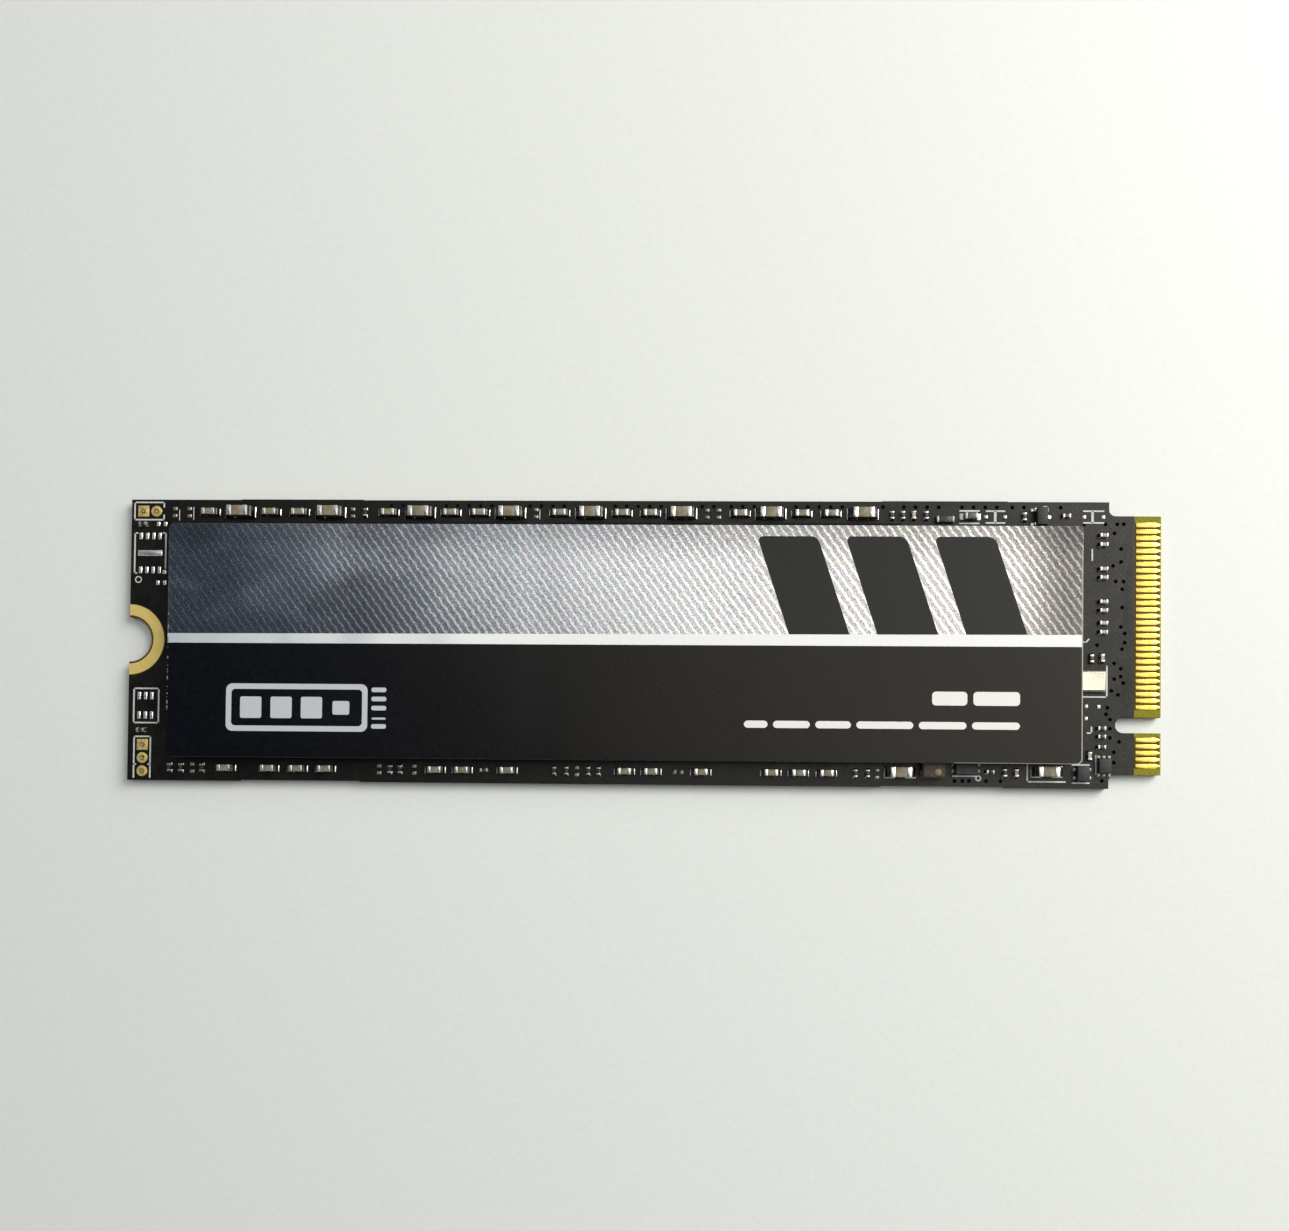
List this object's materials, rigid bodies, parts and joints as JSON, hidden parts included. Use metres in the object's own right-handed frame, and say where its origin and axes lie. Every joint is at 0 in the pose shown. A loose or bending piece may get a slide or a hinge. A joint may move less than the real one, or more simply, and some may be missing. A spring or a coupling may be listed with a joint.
{
  "type": "m2 nvme ssd",
  "caption": "Plug-in solid-state drive card: black circuit board with flash memory packages under a foil label, gold edge contacts and a screw notch.",
  "frame": {"origin": "middle of the card's underside, which it rests on", "axes": "+X along the card towards the edge contacts, +Y across the card, +Z out of the populated side"},
  "size_m": [0.08, 0.022, 0.0022],
  "materials": {
    "solder_mask": "black solder mask on glass-fibre laminate",
    "gold_plate": "gold-plated copper",
    "tin_plate": "bright tin and solder",
    "mould_compound": "black epoxy moulding compound",
    "capacitor_ceramic": "fired taupe ceramic",
    "resistor_ceramic": "black glazed ceramic",
    "ferrite": "dark grey sintered ferrite",
    "inductor_mould": "brown pressed metal-powder body",
    "crystal_ceramic": "pale ceramic base",
    "crystal_metal": "bright nickel lid",
    "label_foil": "printed foil label"
  },
  "bodies": {
    "root": {"circuit_board": "solder_mask", "edge_contacts_top": "gold_plate", "edge_contacts_bottom": "gold_plate", "screw_ring_top": "gold_plate", "screw_ring_bottom": "gold_plate", "header_pads": "gold_plate", "nand_solder_balls": "tin_plate", "controller_package": "mould_compound", "controller_solder_balls": "tin_plate", "bulk_capacitor_ends": "tin_plate", "bypass_capacitors_upper": "capacitor_ceramic", "bypass_capacitor_ends_upper": "tin_plate", "bypass_capacitors_lower": "capacitor_ceramic", "bypass_capacitor_ends_lower": "tin_plate", "lane_capacitors": "capacitor_ceramic", "lane_capacitor_ends": "tin_plate", "tiny_capacitors": "capacitor_ceramic", "tiny_capacitor_ends": "tin_plate", "chip_resistors": "resistor_ceramic", "chip_resistor_ends": "tin_plate", "ferrite_bead": "ferrite", "sense_resistor": "resistor_ceramic", "bead_and_sense_ends": "tin_plate", "power_choke": "inductor_mould", "power_inductor_1": "inductor_mould", "power_inductor_2": "inductor_mould", "inductor_pads": "tin_plate", "power_ic": "mould_compound", "power_ic_leads": "tin_plate", "crystal_base": "crystal_ceramic", "crystal_lid": "crystal_metal", "transistor": "mould_compound", "transistor_leads": "tin_plate", "level_shifter": "mould_compound", "load_switch": "mould_compound", "voltage_regulator": "mould_compound", "small_package_leads": "tin_plate", "solder_lands_upper": "tin_plate", "solder_lands_lower": "tin_plate", "solder_lands_contact_end": "tin_plate", "solder_lands_screw_end": "tin_plate", "label": "label_foil", "nand_package_1": "mould_compound", "nand_package_2": "mould_compound", "nand_package_3": "mould_compound", "nand_package_4": "mould_compound", "bulk_capacitor_1": "capacitor_ceramic", "bulk_capacitor_2": "capacitor_ceramic", "bulk_capacitor_3": "capacitor_ceramic", "bulk_capacitor_4": "capacitor_ceramic", "bulk_capacitor_5": "capacitor_ceramic", "bulk_capacitor_6": "capacitor_ceramic", "bulk_capacitor_7": "capacitor_ceramic", "bulk_capacitor_8": "capacitor_ceramic", "bulk_capacitor_9": "capacitor_ceramic", "bulk_capacitor_10": "capacitor_ceramic"}
  },
  "joints": []
}
